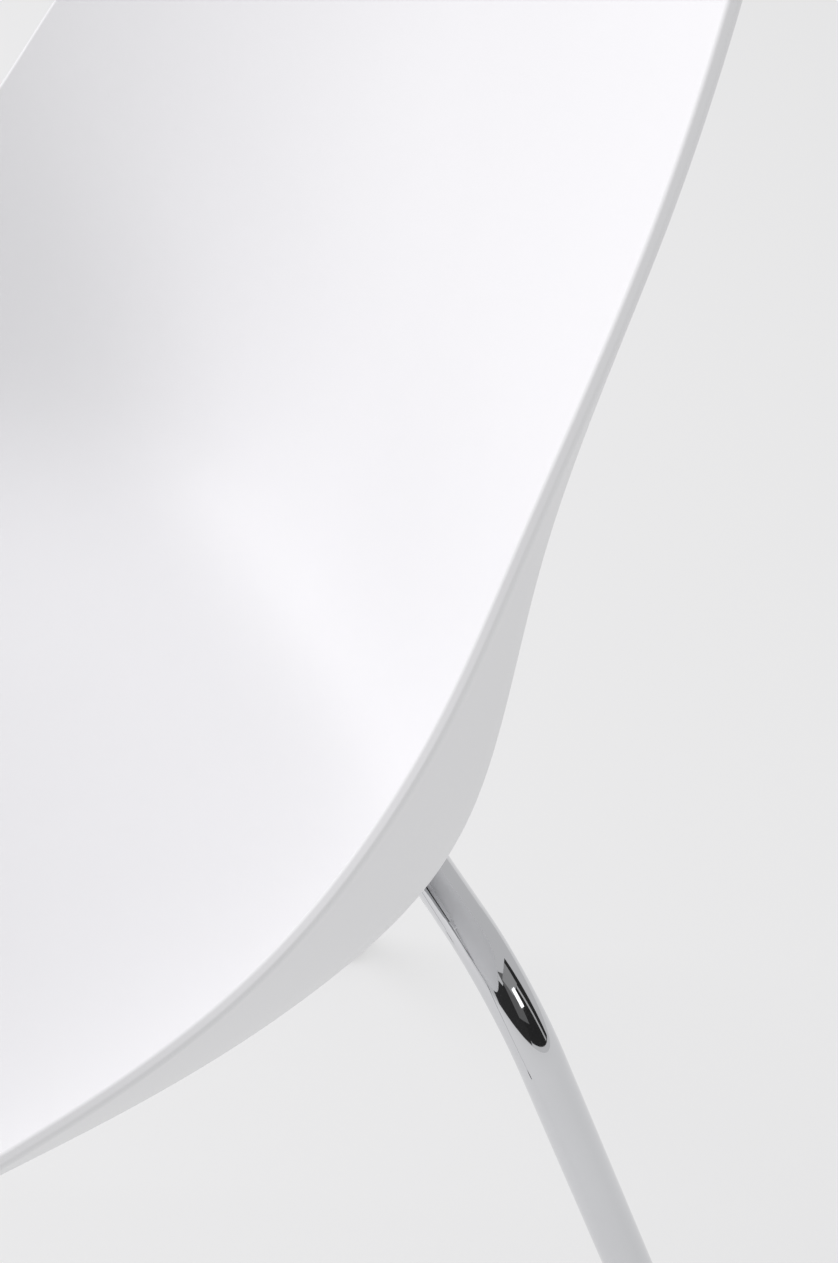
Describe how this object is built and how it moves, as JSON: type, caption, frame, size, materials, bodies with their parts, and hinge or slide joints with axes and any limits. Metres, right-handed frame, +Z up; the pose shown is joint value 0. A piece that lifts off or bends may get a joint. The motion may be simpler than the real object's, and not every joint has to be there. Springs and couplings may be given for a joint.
{
  "type": "stacking chair",
  "caption": "Stacking chair with a one-piece moulded bucket shell on bent round chrome legs, carried by welded rails, with tilting floor glides.",
  "frame": {"origin": "on the floor, under the centre of the chair's bounding box", "axes": "+Z up, -Y the way the sitter faces, +X to the sitter's left"},
  "size_m": [0.5662, 0.4858, 0.808],
  "materials": {
    "shell_plastic": "white moulded polypropylene, fine even texture, soft satin sheen",
    "chrome": "polished chrome plate on bent steel tube",
    "plated_steel": "bright plated flat steel bar with welded ends",
    "zinc_steel": "zinc plated steel",
    "brass": "turned brass",
    "rubber": "black moulded rubber",
    "buffer_plastic": "translucent white soft plastic, fine texture",
    "glide_plastic": "black moulded nylon",
    "sole_plastic": "dark grey hard wearing plastic disc"
  },
  "bodies": {
    "chair": {"seat_shell": "shell_plastic", "shell_inserts": "brass", "shell_spacers": "rubber", "shell_screws": "zinc_steel", "screw_washers": "zinc_steel", "left_rail": "plated_steel", "right_rail": "plated_steel", "front_leg_tube": "chrome", "rear_leg_tube": "chrome", "front_left_stacking_buffer": "buffer_plastic", "front_left_glide_plug": "glide_plastic", "front_left_ball_stud": "zinc_steel", "front_right_stacking_buffer": "buffer_plastic", "front_right_glide_plug": "glide_plastic", "front_right_ball_stud": "zinc_steel", "rear_left_stacking_buffer": "buffer_plastic", "rear_left_glide_plug": "glide_plastic", "rear_left_ball_stud": "zinc_steel", "rear_right_stacking_buffer": "buffer_plastic", "rear_right_glide_plug": "glide_plastic", "rear_right_ball_stud": "zinc_steel"},
    "front_left_glide": {"front_left_glide_pad": "glide_plastic", "front_left_glide_sole": "sole_plastic"},
    "front_right_glide": {"front_right_glide_pad": "glide_plastic", "front_right_glide_sole": "sole_plastic"},
    "rear_left_glide": {"rear_left_glide_pad": "glide_plastic", "rear_left_glide_sole": "sole_plastic"},
    "rear_right_glide": {"rear_right_glide_pad": "glide_plastic", "rear_right_glide_sole": "sole_plastic"}
  },
  "joints": [
    {"name": "front_left_glide_tilt", "type": "hinge", "parent": "chair", "child": "front_left_glide", "pos_m": [0.2671, -0.20848, 0.01], "axis": [0.5039, 0.8638, 0], "range_deg": [-41, 9]},
    {"name": "front_right_glide_tilt", "type": "hinge", "parent": "chair", "child": "front_right_glide", "pos_m": [-0.2671, -0.20848, 0.01], "axis": [0.5039, -0.8638, 0], "range_deg": [-41, 9]},
    {"name": "rear_left_glide_tilt", "type": "hinge", "parent": "chair", "child": "rear_left_glide", "pos_m": [0.2671, 0.21733, 0.01], "axis": [-0.7693, 0.6389, 0], "range_deg": [-46, 4]},
    {"name": "rear_right_glide_tilt", "type": "hinge", "parent": "chair", "child": "rear_right_glide", "pos_m": [-0.2671, 0.21733, 0.01], "axis": [-0.7693, -0.6389, 0], "range_deg": [-46, 4]}
  ]
}
